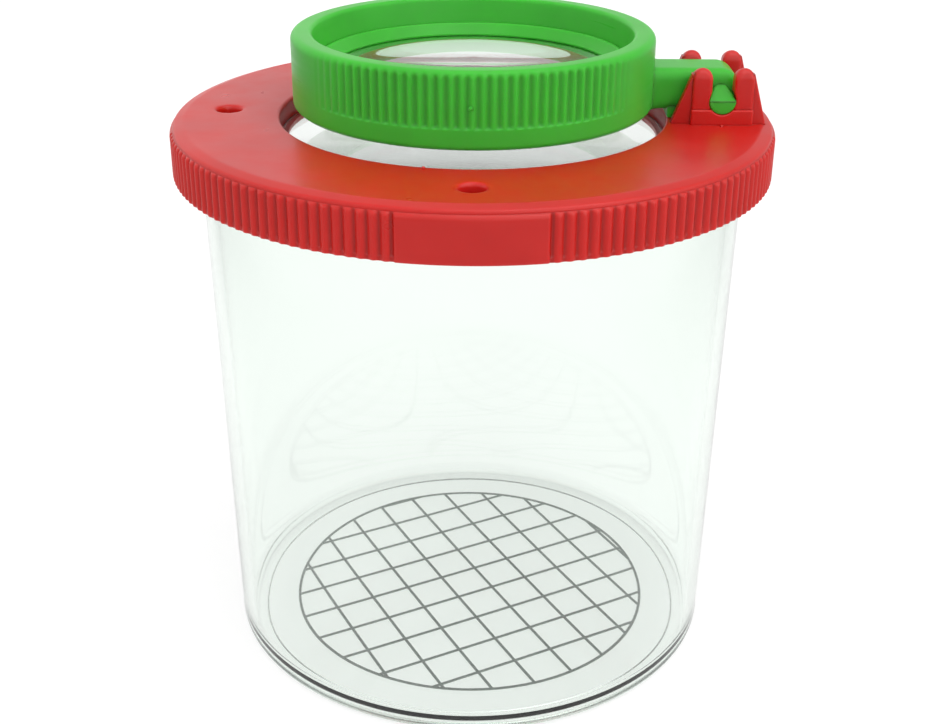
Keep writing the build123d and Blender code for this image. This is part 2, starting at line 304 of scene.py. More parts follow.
def box_section(half_u, half_v, size, steps=5):
    """Outline of a rectangle with round corners, one row for each entry of the half widths.

    A corner's points are its middle plus size times the cosine and sine of the turn; two more points on each
    flat stand a little way off the arcs.
    """
    half_u, half_v, size = half_u[:, None], half_v[:, None], size[:, None]
    quarter = np.linspace(0, math.pi / 2, steps)
    turns = np.concatenate([np.r_[quarter[0], quarter, quarter[-1]] + k * math.pi / 2 for k in range(4)])
    push = np.tile(np.r_[-1, np.zeros(steps), 1], 4)
    sign_u = np.repeat([1, -1, -1, 1], steps + 2)
    sign_v = np.repeat([1, 1, -1, -1], steps + 2)
    slip = np.minimum(0.4 * size, 0.4 * np.minimum(half_u - size, half_v - size))
    u = sign_u * (half_u - size) + size * np.cos(turns) - push * slip * np.sin(turns)
    v = sign_v * (half_v - size) + size * np.sin(turns) + push * slip * np.cos(turns)
    return u, v


def soft_ends(start, stop, between, size, steps=4):
    """Stations from start to stop with a quarter round at both ends, and how far the section draws in."""
    swing = np.linspace(math.pi / 2, 0, steps)
    lead, draw = size * (1 - np.sin(swing)), size * (1 - np.cos(swing))
    stations = np.concatenate([[start], start + lead, between, stop - lead[::-1], [stop]])
    inset = np.concatenate([[1.6 * size], draw, np.zeros(len(between)), draw[::-1], [1.6 * size]])
    return stations, inset


def smooth_step(value, low, high):
    """Rises from 0 at low to 1 at high, level at both ends."""
    share = np.clip((value - low) / (high - low), 0, 1)
    return share * share * (3 - 2 * share)


def quarter_round(share):
    """Height of a unit quarter circle: 1 up to share 0, falling to 0 at share 1 and beyond."""
    return np.sqrt(1 - np.clip(share, 0, 1) ** 2)


def half_chord(radius, offset):
    """Half width of a circle at an offset from its middle, 0 outside it."""
    return np.sqrt(np.clip(radius**2 - offset**2, 0, None))


def beaker_skin(size):
    """Turned outline: up the outside, over the rim, down the inside, across the floor, with a foot ring."""
    flare = size.rim_radius - size.base_radius
    low_in = size.base_radius + flare * size.floor_top / size.height - size.wall
    profile = fillet_chain(
        [
            (0.6 * MM, size.floor_low),
            (size.foot_radius, size.floor_low),
            (size.foot_radius + 0.1 * MM, 0.0),
            (size.base_radius, 0.0),
            (size.rim_radius, size.height),
            (size.rim_radius - size.wall, size.height),
            (low_in, size.floor_top),
            (0.6 * MM, size.floor_top),
        ],
        np.array([0.12 * MM, 0.12 * MM, size.corner_round, 0.4 * MM, 0.4 * MM, 0.8 * MM]),
        steps=9,
    )
    return skin(turned(profile, full_circle(JAR_COLUMNS)))


def grid_block(rows, column, reach):
    """A block of the lid's grid about one column, with its steps outward and round from the middle."""
    out = np.arange(len(rows)) - len(rows) // 2
    along = np.arange(-reach, reach + 1)
    return np.ix_(rows, (column + along) % COLUMNS), out[:, None], along[None, :]


def move_block(points, where, column, outward, sideways, drop, ease):
    """Moves a block of points to new distances outward and sideways along the column's own directions.

    A point keeps the share ease of its old distances.
    """
    turn = column * FULL_TURN / COLUMNS
    block = points[where]
    x, y = block[..., 0], block[..., 1]
    outward = ease * (x * math.cos(turn) + y * math.sin(turn)) + (1 - ease) * outward
    sideways = ease * (y * math.cos(turn) - x * math.sin(turn)) + (1 - ease) * sideways
    block[..., 0] = outward * math.cos(turn) - sideways * math.sin(turn)
    block[..., 1] = outward * math.sin(turn) + sideways * math.cos(turn)
    block[..., 2] -= drop
    points[where] = block


def open_vent(points, rows, column, lid, soft, side):
    """Draws the grid round a vent into rings: the steps on a square give the turn, the ring its radius.

    The first rings follow a quarter round of the soft size, and the outer ones ease back to the plain grid.
    """
    where, j, i = grid_block(rows, column, VENT_COLUMNS + VENT_RINGS)
    ring = np.maximum(np.maximum(np.abs(i) - VENT_COLUMNS, np.abs(j) - VENT_ROWS), 0)
    a, b = i / (VENT_COLUMNS + ring), j / (VENT_ROWS + ring)
    steep = np.abs(b) > np.abs(a)
    over = np.where(steep, a, b) / np.where(steep, b, np.where(a == 0, 1, a))
    turn = np.where(steep, math.pi / 2 - math.pi / 4 * over, math.pi / 4 * over)
    turn = turn + math.pi * np.where(steep, b < 0, a < 0)
    bend = np.radians([0, 30, 60, 90])
    radii = np.r_[soft * (1 - np.cos(bend)), soft + np.array([0.3, 0.65, 1.0, 1.4]) * MM] + lid.vent_radius
    drops = np.r_[soft * (1 - np.sin(bend)), np.zeros(4)]
    ease = np.array([0, 0, 0, 0, 0.1, 0.4, 0.75, 1.0])[ring]
    outward, sideways = lid.vent_circle + radii[ring] * np.sin(turn), radii[ring] * np.cos(turn)
    move_block(points, where, column, outward, sideways, side * drops[ring], ease)


def vent_wall(index, top_rows, under_rows, column):
    """Faces down the wall of a vent, from the ring of points above to the ring below."""
    i, j = VENT_COLUMNS, VENT_ROWS
    across, up = np.arange(-i, i), np.arange(-j, j)
    along = np.concatenate([across, np.full(2 * j, i), -across, np.full(2 * j, -i)])
    out = np.concatenate([np.full(2 * i, -j), up, np.full(2 * i, j), -up])
    columns, middle = (column + along) % COLUMNS, len(top_rows) // 2
    upper, lower = index[top_rows[middle + out], columns], index[under_rows[middle + out], columns]
    return np.stack([upper, lower, np.roll(lower, -1), np.roll(upper, -1)], -1)


def sink_heel_pocket(points, rows, hinge):
    """Draws the grid between the yokes into a sunk rectangle, so that the arm's heel has room to turn."""
    where, j, i = grid_block(rows, 0, HEEL_COLUMNS + HEEL_RINGS)
    ring = np.maximum(np.maximum(np.abs(i) - HEEL_COLUMNS, np.abs(j) - HEEL_ROWS), 0)
    margin = np.array([0.0, 0.06, 0.25, 0.5])[ring] * MM
    ease = np.array([0, 0, 0, 1.0])[ring]
    outward = hinge.axis_x + (2.8 * MM + margin) * np.clip(j / HEEL_ROWS, -1, 1)
    sideways = (hinge.yoke_inner + margin) * np.clip(i / HEEL_COLUMNS, -1, 1)
    drop = np.array([0.55, 0.04, 0.0, 0.0])[ring] * MM
    move_block(points, where, 0, outward, sideways, drop, ease)


def grip_band(lid, turns, levels):
    """Radius of the skirt: the edge radius plus rounded ribs in four groups, with plain panels between.

    A rib is a raised cosine to the power 0.7 of the turn. Ribs and panels round off at both ends of the skirt
    along quarter ellipses.
    """
    pitch = FULL_TURN / lid.ribs
    from_panel = np.abs((turns + math.pi / 4) % (math.pi / 2) - math.pi / 4)
    rib = (0.5 - 0.5 * np.cos(FULL_TURN * (turns - math.pi / 4) / pitch)) ** 0.7
    rib = rib * (from_panel > lid.panel_angle / 2 + 0.4 * pitch)
    panel = smooth_step(-from_panel, -lid.panel_angle / 2 - 0.004, -lid.panel_angle / 2 + 0.004)
    shape = np.maximum(rib, panel)
    below_top, above_end = lid.top - levels, levels - lid.skirt_low
    rib_top, rib_end, rounding = 1.25 * MM, 0.35 * MM, 0.5 * MM
    upper = quarter_round((rib_top - below_top) / rounding)
    lower = quarter_round((rib_end - above_end) / rounding)
    lip = 0.4 * smooth_step(-above_end, -0.75 * MM, -0.45 * MM)
    height = np.maximum(shape[None, :] * (upper * lower)[:, None], (lip * lower)[:, None])
    return lid.edge_radius + lid.grip_proud * height, np.broadcast_to(shape, height.shape)


def lid_skin(lid, hinge):
    """Lid body: a turned outline with three vents and the heel pocket worked into its grid.

    The skirt's outside has three times as many columns as the rest, and a row of triangles joins the two.
    """
    top, under = lid.top, lid.top - lid.plate
    near = np.arange(1, VENT_ROWS + 1) * 0.3 * MM
    offsets = np.concatenate([near, near[-1] + np.arange(1, VENT_RINGS + 1) * 0.28 * MM])
    flat_rows = lid.vent_circle + np.concatenate([-offsets[::-1], [0], offsets])
    edge, bore, seat = lid.edge_radius, lid.bore_radius, LENS_LOW
    bevel = fillet_chain(
        [(edge, top - 0.68 * MM), (edge, top - 0.35 * MM), (edge - 1.2 * MM, top), (edge - 2.0 * MM, top)],
        (0.4 * MM, 1.5 * MM),
    )
    collar = bore + 1.4 * MM
    inside = fillet_chain(
        [
            (24.0 * MM, top),
            (bore, top),
            (bore, seat),
            (lid.ledge_radius, seat),
            (lid.ledge_radius, seat - 0.8 * MM),
            (collar, seat - 0.8 * MM),
            (collar, under),
            (24.2 * MM, under),
        ],
        np.array([0.3, 0.1, 0.12, 0.12, 0.15, 0.15]) * MM,
        steps=4,
    )
    skirt = fillet_chain(
        [
            (flat_rows[-1] + 0.1 * MM, under),
            (lid.skirt_inner, under),
            (lid.skirt_inner, lid.skirt_low),
            (edge + 0.02 * MM, lid.skirt_low),
        ],
        (0.15 * MM, 0.2 * MM),
        steps=4,
    )
    plate_top = np.stack([flat_rows[::-1], np.full(len(flat_rows), top)], -1)
    plate_under = np.stack([flat_rows, np.full(len(flat_rows), under)], -1)
    profile = np.concatenate([bevel, plate_top, inside, plate_under, skirt])
    points = turned(profile, full_circle(COLUMNS))
    top_rows = len(bevel) + np.arange(len(flat_rows))[::-1]
    under_rows = len(bevel) + len(plate_top) + len(inside) + np.arange(len(flat_rows))
    index = np.arange(points.shape[0] * COLUMNS).reshape(-1, COLUMNS)
    keep = np.ones((len(profile) - 1, COLUMNS), bool)
    walls = []
    middle = len(flat_rows) // 2
    for column in (COLUMNS // 4, COLUMNS // 2, 3 * COLUMNS // 4):
        holes = (column + np.arange(-VENT_COLUMNS, VENT_COLUMNS)) % COLUMNS
        for rows, soft, side in ((top_rows, 0.42 * MM, 1), (under_rows, 0.15 * MM, -1)):
            open_vent(points, rows, column, lid, soft, side)
            keep[np.ix_(rows[middle] + np.arange(-VENT_ROWS, VENT_ROWS), holes)] = False
        walls.append(vent_wall(index, top_rows, under_rows, column))
    sink_heel_pocket(points, top_rows, hinge)
    above_end = np.array([0.04, 0.10, 0.18, 0.28, 0.38, 0.48, 0.58, 0.7, 0.85, 1.9, 3.0, 4.0]) * MM
    below_top = np.array([1.35, 1.22, 1.08, 0.96, 0.87, 0.81, 0.77, 0.745, 0.72]) * MM
    levels = np.r_[above_end + lid.skirt_low, lid.top - below_top]
    fine = full_circle(3 * COLUMNS)
    radius, shape = grip_band(lid, fine, levels)
    band = np.stack(np.broadcast_arrays(radius * np.cos(fine), radius * np.sin(fine), levels[:, None]), -1)
    band_index = points.shape[0] * COLUMNS + np.arange(radius.size).reshape(radius.shape)
    quads = [grid_quads(index)[keep], grid_quads(band_index).reshape(-1, 4), *walls]
    tris = []
    for coarse, close, up in ((index[-1], band_index[0], True), (index[0], band_index[-1], False)):
        a, b = coarse, np.roll(coarse, -1)
        f = [np.roll(close, -k)[::3] for k in range(4)]
        fans = [(a, f[1], f[0]), (b, f[3], f[2])] if up else [(f[0], f[1], a), (f[2], f[3], b)]
        tris += [np.stack(fan, -1) for fan in fans]
        quads.append(np.stack((a, b, f[2], f[1]) if up else (f[1], f[2], b, a), -1))
    return {
        "points": np.concatenate([points.reshape(-1, 3), band.reshape(-1, 3)]),
        # Shading values of the skirt: rib valleys at 0 get painted shade, crests and plain panels at 1 a pale
        # painted highlight, the rest stays plain at 0.6
        "relief_shading": np.concatenate([np.full(index.size, 0.6), shape.ravel()]),
        "quads": np.concatenate(quads),
        "tris": np.concatenate(tris),
    }


def prong_skin(middle_x, middle_y, half_x, half_y, lid, hinge, facing):
    """Prong: a round-cornered section carried up, closing over the top along an ellipse.

    Its face towards the pin is held outside the circle of the pin's seat.
    """
    dome = 1.05 * MM
    rise = np.sin(np.radians([0, 18, 36, 52, 66, 77, 86]))
    climb = np.r_[np.linspace(-0.4, 0.8, 3) * MM, np.linspace(1.0, 4.85, 20) * MM]
    heights = np.r_[climb, hinge.prong_height - dome + dome * rise]
    shrink = np.r_[np.ones(len(climb)), quarter_round(rise)]
    draft = 1 - 0.045 * np.clip(heights / hinge.prong_height, 0, 1)
    wide, deep = half_x * shrink * draft, half_y * shrink * draft
    corner = np.minimum(wide, deep) * np.r_[np.full(len(climb), 0.34), 0.34 + 0.6 * rise]
    u, v = box_section(wide, deep, corner)
    x, z = middle_x + u, lid.top + heights[:, None]
    clear = half_chord(hinge.seat_radius, z - hinge.axis_z)
    x = np.where(facing > 0, np.minimum(x, hinge.axis_x - clear), np.maximum(x, hinge.axis_x + clear))
    return swept(x, middle_y + v, z, 0.6)


def yoke_block_skin(middle_y, half_y, half_x, lid, hinge):
    """Low block of a yoke: a round-cornered section carried along X, with a dip along the pin's seat."""
    between = hinge.axis_x + np.linspace(-3.0, 3.0, 61) * MM
    stations, inset = soft_ends(hinge.axis_x - half_x, hinge.axis_x + half_x, between, 0.18 * MM)
    drop = half_chord(hinge.seat_radius, stations - hinge.axis_x)
    high = np.minimum(lid.top + 1.68 * MM, np.where(drop > 0, hinge.axis_z - drop, np.inf)) - inset
    low = lid.top - 0.5 * MM + inset
    u, v = box_section(half_y - inset, (high - low) / 2, np.full(len(stations), 0.16 * MM) - 0.3 * inset)
    return swept(stations[:, None], middle_y + u, ((high + low) / 2)[:, None] + v, 0.6)


def gusset_skin(root_x, edge_x, foot, middle_y, lid):
    """Gusset: a section from the prong's middle to a sloping outer edge, carried up, thinner at that edge."""
    heights = np.r_[-0.4, 0.0, 0.3, np.linspace(0.8, 4.9, 8), 5.3, 5.5] * MM
    reach = edge_x + foot * (1 - np.clip(heights / (5.6 * MM), 0, 1))
    half = np.abs(reach - root_x) / 2
    u, v = box_section(half, np.full(len(heights), 0.72 * MM), np.full(len(heights), 0.16 * MM))
    outer = np.sign(foot) * u / half[:, None]
    v = v * (1 - 0.28 * (outer + 1) / 2)
    # A shading value of 0.35 darkens the whole gusset a little: painted shade
    return swept(((reach + root_x) / 2)[:, None] + u, middle_y + v, lid.top + heights[:, None], 0.35)


def nub_skin(place, out, size, height):
    """Small moulding nub: a half ellipsoid that stands on a surface along a direction."""
    out = np.asarray(out, float)
    side = np.cross(out, [0.3, 0.5, 0.8])
    side = side / np.linalg.norm(side)
    other = np.cross(out, side)
    lift = np.sin(np.radians([-35, 0, 30, 55, 75]))[:, None, None]
    turns = full_circle(12)[None, :, None]
    ring = np.sqrt(1 - lift**2) * size * (np.cos(turns) * side + np.sin(turns) * other)
    # A shading value of 0.9 gives the nub a pale painted highlight
    return skin(np.asarray(place) + lift * height * out + ring, 0.9)


def yoke_skins(lid, hinge):
    """Both yokes: a block, two prongs and two gussets each."""
    half_x, prong_half = 3.45 * MM, 1.14 * MM
    prong_depth = (hinge.yoke_outer - hinge.yoke_inner - 0.25 * MM) / 2
    skins = []
    for side in (-1, 1):
        block_y = side * (hinge.yoke_inner + hinge.yoke_outer) / 2
        prong_y = side * (hinge.yoke_inner + prong_depth)
        skins.append(yoke_block_skin(block_y, (hinge.yoke_outer - hinge.yoke_inner) / 2, half_x, lid, hinge))
        for way, foot in ((-1, 2.15 * MM), (1, 1.6 * MM)):
            middle = hinge.axis_x + way * (half_x - prong_half)
            edge = hinge.axis_x + way * (half_x - 0.05 * MM)
            skins.append(prong_skin(middle, prong_y, prong_half, prong_depth, lid, hinge, -way))
            skins.append(gusset_skin(middle, edge, way * foot, prong_y, lid))
    return skins


def ring_skin(ring):
    """Magnifier ring: a turned outline with flutes cut in two sectors.

    A flute is a raised cosine of the turn. Its depth rises along a quarter round at the foot and fades out
    over the rounded rim.
    """
    low, high, radius = ring.low, ring.high, ring.radius
    lower = fillet_chain(
        [(17.8 * MM, low), (radius - 0.3 * MM, low), (radius, low + 0.35 * MM), (radius, low + 1.4 * MM)],
        (0.25 * MM, 0.4 * MM),
        steps=4,
    )
    wall = np.array([1.8, 2.1, 2.2, 2.27, 2.34, 2.42, 2.52, 2.66, 3.1, 4.2, 5.3, 6.2]) * MM + low
    upper = fillet_chain(
        [
            (radius, high - 1.5 * MM),
            (radius, high),
            (ring.inner_radius, high),
            (ring.pocket_radius, ring.retainer_top),
            (ring.pocket_radius, ring.lens_rest),
            (ring.ledge_radius, ring.lens_rest),
            (ring.ledge_radius, low),
            (17.2 * MM, low),
        ],
        np.array([0.8, 0.5, 0.08, 0.1, 0.12, 0.25]) * MM,
        steps=7,
    )
    profile = np.concatenate([lower, np.stack([np.full(len(wall), radius), wall], -1), upper])
    turns = full_circle(8 * ring.flutes)
    points = turned(profile, turns)
    pitch = FULL_TURN / ring.flutes
    flute = 0.5 - 0.5 * np.cos(FULL_TURN * (turns + math.pi / 2) / pitch)
    from_middle = np.abs((turns + math.pi) % math.pi - math.pi / 2)
    sector = smooth_step(-from_middle, -math.radians(57.5), -math.radians(34.0))
    foot = quarter_round(1 - (profile[:, 1] - low - ring.band + 0.05 * MM) / (0.4 * MM))
    rim = smooth_step(-profile[:, 1], -high + 0.1 * MM, -high + 0.85 * MM)
    outside = profile[:, 0] > radius - 0.8 * MM
    cut = (foot * rim * outside)[:, None] * (flute * sector)[None, :]
    scale = 1 - ring.flute_depth * cut / profile[:, :1]
    points[..., :2] *= scale[..., None]
    # Shading values: the flutes fall towards 0.15 and get painted shade, the plain ring at 0.75 a faint
    # painted highlight
    return skin(points, 0.75 - 0.6 * cut, loop=True)


def arm_skins(hinge, lid):
    """Arm, rest foot and snap-in pins of the magnifier.

    The arm is a round-cornered section carried out to its heel, where its height follows a circle. A pin is
    a circle carried along Y. Its upper half narrows under a slope that falls to the axis at the tip, and a
    fine bead crosses the tip there.
    """
    middle, half, straight, plain = hinge.axis_z + 0.65 * MM, 2.3 * MM, 12, 13
    swing = np.radians(np.linspace(0, 84, 15))
    stations = np.r_[np.linspace(18.9, 27.0, straight) * MM, hinge.axis_x + half * np.sin(swing)]
    tall = np.r_[np.full(straight, half), half * np.cos(swing)]
    flare = 0.35 * MM * np.clip(1 - (stations - 19.9 * MM) / (0.9 * MM), 0, 1) ** 2
    wide = hinge.arm_half_width + flare - np.r_[np.zeros(straight), 0.5 * MM * (1 - np.cos(swing)) ** 2]
    u, v = box_section(wide, tall + 0.6 * flare, np.minimum(1.15 * MM, 0.9 * tall), steps=7)
    arm = swept(stations[:, None], u, middle + v, 0.6)
    heights = np.r_[0.03, 0.06, 0.14, 0.26, 1.0, 2.4] * MM
    shrink = np.r_[0.3, 0.14, 0.05, 0, 0, 0] * MM
    u, v = box_section(1.2 * MM - shrink, 2.85 * MM - shrink, np.full(6, 0.3 * MM))
    # A shading value of 0.5 gives the foot under the arm a faint painted shade
    foot = swept(23.0 * MM + u, v, lid.top + heights[:, None], 0.5)
    tip = hinge.yoke_outer - 0.06 * MM
    turns = full_circle(72)
    reach = np.r_[np.linspace(2.8, 5.2, plain) * MM, tip - np.array([0.12, 0.06, 0.02, 0.0, 0.0]) * MM]
    size = hinge.pin_radius - np.r_[np.zeros(plain), np.array([0.0, 0.02, 0.07, 0.14, 0.5]) * MM]
    fall = np.clip((tip - 0.05 * MM - reach) / (tip - hinge.arm_half_width), 0, 1)
    slope = hinge.axis_z + hinge.pin_radius * fall
    z = np.minimum(hinge.axis_z + size[:, None] * np.cos(turns), slope[:, None])
    bend = np.sign(np.sin(turns)) * np.abs(np.sin(turns)) ** np.where(np.cos(turns) > 0, 0.8, 1)
    x = hinge.axis_x + size[:, None] * bend * (1 - 0.42 * np.clip(np.cos(turns), 0, 1))
    y = reach[:, None]
    pins = [swept(x, y, z, 0.55), swept(x[::-1], -y[::-1], z[::-1], 0.55)]
    bead_half = 1.43 * MM
    between = hinge.axis_x + np.linspace(-1.2, 1.2, 9) * MM
    stations, inset = soft_ends(hinge.axis_x - bead_half, hinge.axis_x + bead_half, between, 0.05 * MM)
    u, v = box_section(0.09 * MM - inset, 0.07 * MM - inset, np.full(len(inset), 0.04 * MM) - 0.4 * inset)
    bead_y = tip - 0.07 * MM
    # A shading value of 1.0 gives each bead the full pale painted highlight
    beads = [swept(stations[:, None], side * bead_y + u, hinge.axis_z + v, 1.0) for side in (-1, 1)]
    return [arm, foot, *pins, *beads]


def lens_skin(rest, high, seat_radius, clear, sag_over, sag_under):
    """Lens: each face bulges by its sag times one minus the squared share of the clear radius.

    Its flat rim lies in the seat with a fine gap below and round it.
    """
    low, radius, inner = rest + LENS_LIFT, seat_radius - LENS_GAP, clear + 0.2 * MM
    share = np.sqrt(np.linspace(0.0004, 1, 44))
    face = np.stack([share * clear, 1 - share**2], -1)
    rim = fillet_chain([(inner, low), (radius, low), (radius, high), (inner, high)], (0.15 * MM, 0.15 * MM))
    under = face * [1, -sag_under] + [0, low]
    over = face[::-1] * [1, sag_over] + [0, high]
    return skin(turned(np.concatenate([under, rim, over]), full_circle(LENS_COLUMNS)))


def retainer_skin(ring):
    """Retaining ring: a turned outline with a conical inner face and a small bevel round the top."""
    outer, inner = ring.pocket_radius - 0.05 * MM, ring.ledge_radius
    low, high = ring.lens_top, ring.retainer_top
    rest = low + LENS_LIFT
    outline = fillet_chain(
        [
            (outer - 0.8 * MM, rest),
            (outer, rest),
            (outer, high - 0.35 * MM),
            (outer - 0.14 * MM, high),
            (outer - 0.5 * MM, high),
            (inner, low + 0.25 * MM),
            (inner, rest),
            (outer - 1.1 * MM, rest),
        ],
        np.array([0.08, 0.1, 0.08, 0.12, 0.08, 0.05]) * MM,
        steps=5,
    )
    # The default shading value of 0.5 gives the holder a faint painted shade
    return skin(turned(outline, full_circle(LENS_COLUMNS)), loop=True)


def feed(tree, socket, value):
    """Links a socket to another one or sets its value. A colour gets its fourth number here."""
    if isinstance(value, bpy.types.NodeSocket):
        tree.links.new(value, socket)
    else:
        socket.default_value = (*value, 1) if socket.type == "RGBA" else value


def set_up(tree, node, **values):
    """Sets a node's sockets by their titles, with _ for a space, and its other settings by name."""
    for name, value in values.items():
        title = name.replace("_", " ")
        if title in node.inputs:
            feed(tree, node.inputs[title], value)
        else:
            setattr(node, name, value)
    return node


def add_node(tree, kind, **values):
    """A new shader node with its sockets and settings."""
    return set_up(tree, tree.nodes.new(kind), **values)


def noise(tree, place, scale, detail=2.0, stretch=None):
    """Noise over Object coordinates, stretched along an axis where that is asked."""
    if stretch is not None:
        place = add_node(tree, "ShaderNodeMapping", Vector=place, Scale=stretch).outputs["Vector"]
    return add_node(tree, "ShaderNodeTexNoise", Vector=place, Scale=scale, Detail=detail).outputs["Fac"]


def spread(tree, source, low, high, first=0.1, last=0.9):
    """A value carried from the range first to last over to the range low to high."""
    remap = add_node(tree, "ShaderNodeMapRange", Value=source)
    return set_up(tree, remap, From_Min=first, From_Max=last, To_Min=low, To_Max=high).outputs["Result"]


def maths(tree, operation, *values):
    """One sum on values and sockets."""
    node = add_node(tree, "ShaderNodeMath", operation=operation)
    for socket, value in zip(node.inputs, values):
        feed(tree, socket, value)
    return node.outputs[0]


def mixed(tree, share, first, second):
    """Mix of two colours by a share."""
    mix = add_node(tree, "ShaderNodeMix", data_type="RGBA")
    for place, value in ((0, share), (6, first), (7, second)):
        feed(tree, mix.inputs[place], value)
    return mix.outputs[2]


def new_material(name):
    """An empty material with its Principled shader and Object coordinates."""
    material = bpy.data.materials.new(name)
    material.use_nodes = True
    tree = material.node_tree
    place = tree.nodes.new("ShaderNodeTexCoord").outputs["Object"]
    return material, tree, tree.nodes["Principled BSDF"], place


def moulded_plastic(name, colour, roughness, groove_shade, sheen, depth, scuff_stretch=(1, 1, 1)):
    """Coloured moulded plastic: cloudy pigment, fine grain, scuffs, painted groove shade and ridge highlight.

    Light goes in about as far as the depth and comes out again tinted.
    """
    material, tree, shader, place = new_material(name)
    colour = np.array(colour)
    cloud = spread(tree, noise(tree, place, 130, 4), 0, 1)
    base = mixed(tree, cloud, colour * 0.88, np.minimum(colour * 1.10 + 0.002, 1))
    relief_shading = add_node(tree, "ShaderNodeAttribute", attribute_name="relief_shading").outputs["Fac"]
    # Painted shade: below a shading value of 0.55 the colour darkens towards a dark copy of itself, most in
    # rib valleys and flutes
    base = mixed(tree, spread(tree, relief_shading, groove_shade, 0, 0.0, 0.55), base, colour * 0.4)
    # Painted highlight: above a shading value of 0.6 the colour pales a little, most on rib crests, plain
    # panels and beads
    base = mixed(tree, spread(tree, relief_shading, 0, RIDGE_HIGHLIGHT, 0.6, 1.0), base, colour * 0.8 + 0.15)
    grain, scuff = noise(tree, place, 1500), noise(tree, place, 260, 3, scuff_stretch)
    height = maths(tree, "MULTIPLY_ADD", scuff, 0.5, grain)
    bump = add_node(tree, "ShaderNodeBump", Strength=0.1, Distance=0.03 * MM, Height=height)
    set_up(
        tree,
        shader,
        Base_Color=base,
        Roughness=spread(tree, scuff, roughness - 0.06, roughness + 0.10),
        Normal=bump.outputs["Normal"],
        IOR=1.5,
        Specular_IOR_Level=sheen,
        Subsurface_Weight=1.0,
        Subsurface_Scale=depth,
        Subsurface_Radius=0.25 + 0.75 * colour / colour.max(),
    )
    return material


def clear_plastic(name, colour, density, waviness, ior, foot_radius=0.0):
    """Clear moulded plastic: refracting, faintly wavy, with rubbed spots, a scuffed foot and a tint."""
    material, tree, shader, place = new_material(name)
    haze = spread(tree, noise(tree, place, 320, 5), 0.0, 0.04)
    if foot_radius:
        flat = add_node(tree, "ShaderNodeVectorMath", operation="MULTIPLY", Vector=place)
        flat.inputs[1].default_value = (1, 1, 0)
        reach = add_node(tree, "ShaderNodeVectorMath", operation="LENGTH", Vector=flat.outputs[0])
        split = add_node(tree, "ShaderNodeSeparateXYZ", Vector=place)
        low = spread(tree, split.outputs["Z"], 0.16, 0, 1.2 * MM, 2.6 * MM)
        outer = spread(tree, reach.outputs["Value"], 0, 1, foot_radius, foot_radius + 0.5 * MM)
        haze = maths(tree, "MULTIPLY_ADD", low, outer, haze)
    wave = noise(tree, place, 70, 1, (1, 1, 0.35))
    bump = add_node(tree, "ShaderNodeBump", Strength=waviness, Distance=0.4 * MM, Height=wave)
    set_up(
        tree,
        shader,
        Base_Color=(0.985, 0.995, 0.988),
        Transmission_Weight=1.0,
        IOR=ior,
        Roughness=haze,
        Normal=bump.outputs["Normal"],
    )
    depth = add_node(tree, "ShaderNodeVolumeAbsorption", Color=colour, Density=density)
    set_up(tree, tree.nodes["Material Output"], Volume=depth.outputs["Volume"])
    return material


def grid_lines(name, colour):
    """Dark grid lines: uneven ink with paler thin spots."""
    material, tree, shader, place = new_material(name)
    colour = np.array(colour)
    patch = spread(tree, noise(tree, place, 700, 4), 0, 1)
    rough = spread(tree, noise(tree, place, 3000), 0.45, 0.7)
    set_up(tree, shader, Base_Color=mixed(tree, patch, colour * 0.6, colour * 1.8), Roughness=rough)
    return material


def floor_paper(name, bright):
    """Pale studio floor of uneven tone that glows in a fan, wider away from the camera."""
    material, tree, shader, place = new_material(name)
    tone = spread(tree, noise(tree, place, 9, 3), 0, 1)
    split = add_node(tree, "ShaderNodeSeparateXYZ", Vector=place)
    slant, edge, fade, near, far = -0.31, 0.066, 0.14, -0.13, -0.045
    aside = maths(tree, "ABSOLUTE", split.outputs["X"])
    aside = maths(tree, "MULTIPLY_ADD", split.outputs["Y"], slant, aside)
    across, along = spread(tree, aside, 1, 0, edge, fade), spread(tree, split.outputs["Y"], 0, 1, near, far)
    fan = maths(tree, "MULTIPLY", across, along)
    set_up(
        tree,
        shader,
        Base_Color=mixed(tree, tone, (0.29,) * 3, (0.31,) * 3),
        Roughness=spread(tree, noise(tree, place, 400), 0.75, 0.9),
        Specular_IOR_Level=0.1,
        Emission_Strength=maths(tree, "MULTIPLY_ADD", fan, bright - FLOOR_DIM, FLOOR_DIM),
        Emission_Color=(1, 1, 1),
    )
    return material


class BUGJAR_OT_beaker(Operator):
    """Build the clear beaker"""

    bl_idname = "bug_jar.beaker"
    bl_label = "Clear Beaker"

    def execute(self, context):
        beaker, finish = context.scene.bug_jar_beaker, context.scene.bug_jar_finish
        foot = beaker.foot_radius + MM
        clear = clear_plastic("beaker_clear", finish.clear_tint, **JAR_CLEAR, foot_radius=foot)
        add_piece("clear_beaker", beaker_skin(beaker), clear, "jar", "jar_body")
        return {"FINISHED"}


class BUGJAR_OT_grid(Operator):
    """Give the measuring grid its ink"""

    bl_idname = "bug_jar.grid"
    bl_label = "Measuring Grid"

    def execute(self, context):
        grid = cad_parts["measuring_grid"]
        grid.data.materials.clear()
        grid.data.materials.append(grid_lines("grid_ink", context.scene.bug_jar_finish.grid_ink))
        return {"FINISHED"}


